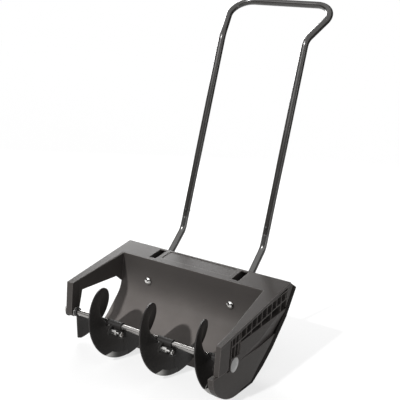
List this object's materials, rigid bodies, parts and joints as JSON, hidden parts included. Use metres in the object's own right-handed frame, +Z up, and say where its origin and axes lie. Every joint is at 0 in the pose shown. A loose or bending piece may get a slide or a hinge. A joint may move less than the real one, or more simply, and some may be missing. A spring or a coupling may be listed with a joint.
{
  "type": "manual auger snow pusher",
  "caption": "Hand-pushed snow plough: curved blade and deck with one open end, a free-turning screw on a steel shaft in front, and a bent tube handle behind.",
  "frame": {"origin": "centre of the bounding box at ground level", "axes": "+Z up, -Y the way it is pushed, +X towards the closed side, along the auger's shaft"},
  "size_m": [0.603, 0.842, 1.077],
  "materials": {
    "body_plastic": "satin moulded",
    "bearing_plastic": "plain",
    "cap_plastic": "gloss moulded",
    "black_tube": "satin black powder coat",
    "black_fastener": "black zinc",
    "zinc": "bright zinc plate",
    "shaft_steel": "bright drawn bar",
    "auger_plastic": "satin moulded"
  },
  "bodies": {
    "frame": {"blade_shell": "body_plastic", "bush_left": "bearing_plastic", "bush_right": "bearing_plastic", "bearing_cap": "cap_plastic", "handle_upper": "black_tube", "handle_leg_left": "black_tube", "handle_leg_right": "black_tube", "handle_joint_bolts": "black_fastener", "handle_joint_nuts": "black_fastener", "leg_bolts": "zinc", "leg_washers": "zinc", "leg_nuts": "zinc"},
    "auger": {"auger_shaft": "shaft_steel", "auger_flight_left": "auger_plastic", "auger_flight_centre": "auger_plastic", "auger_flight_right": "auger_plastic", "coupling_bolts": "zinc", "coupling_nuts": "zinc", "hub_pins": "zinc", "shaft_collar": "black_fastener", "shaft_washers": "zinc", "shaft_nut": "zinc"}
  },
  "joints": [
    {"name": "auger_spin", "type": "hinge", "parent": "frame", "child": "auger", "pos_m": [0, -0.3115, 0.101], "axis": [1, 0, 0], "continuous": true}
  ]
}
